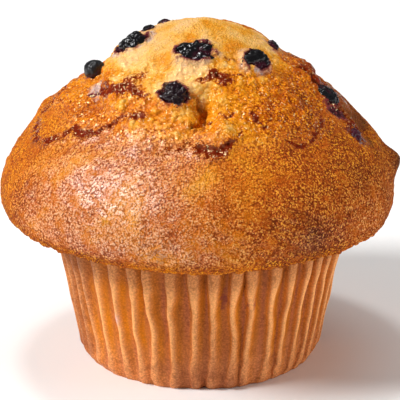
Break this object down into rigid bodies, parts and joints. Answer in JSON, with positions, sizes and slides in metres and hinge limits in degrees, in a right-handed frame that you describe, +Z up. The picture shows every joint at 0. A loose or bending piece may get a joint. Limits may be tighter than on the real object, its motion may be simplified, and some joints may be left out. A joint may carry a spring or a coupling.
{
  "type": "muffin",
  "caption": "Large muffin with an uneven golden-brown domed cap, baked berries in its crown and a pleated paper case; rests on its flat base.",
  "frame": {"origin": "middle of the paper case's flat base, on the surface the muffin stands on", "axes": "+Z up through the crown; the front, with the cleft and the most berries, looks along -Y; +X to the right of the front"},
  "size_m": [0.0979, 0.096, 0.0842],
  "materials": {
    "baked_crust": "baked cake crust, golden on the crown and browner round the shoulder, finely pitted with a dull sugary gloss",
    "greaseproof_paper": "greaseproof baking paper, pleated, stained amber by butter",
    "berry_skin": "dark blue-black berry skin, wrinkled and wet from baking"
  },
  "bodies": {
    "root": {"muffin_cake": "baked_crust", "paper_case": "greaseproof_paper", "berry_left_round": "berry_skin", "berry_left_long": "berry_skin", "berry_left_behind": "berry_skin", "berry_crest": "berry_skin", "berry_top_burst": "berry_skin", "berry_front": "berry_skin", "berry_right_burst": "berry_skin", "berry_right_small": "berry_skin", "berry_right_long": "berry_skin", "berry_right_low": "berry_skin", "berry_back_right": "berry_skin", "berry_back_middle": "berry_skin", "berry_back_low": "berry_skin", "berry_back_left": "berry_skin", "berry_back_edge": "berry_skin"}
  },
  "joints": []
}
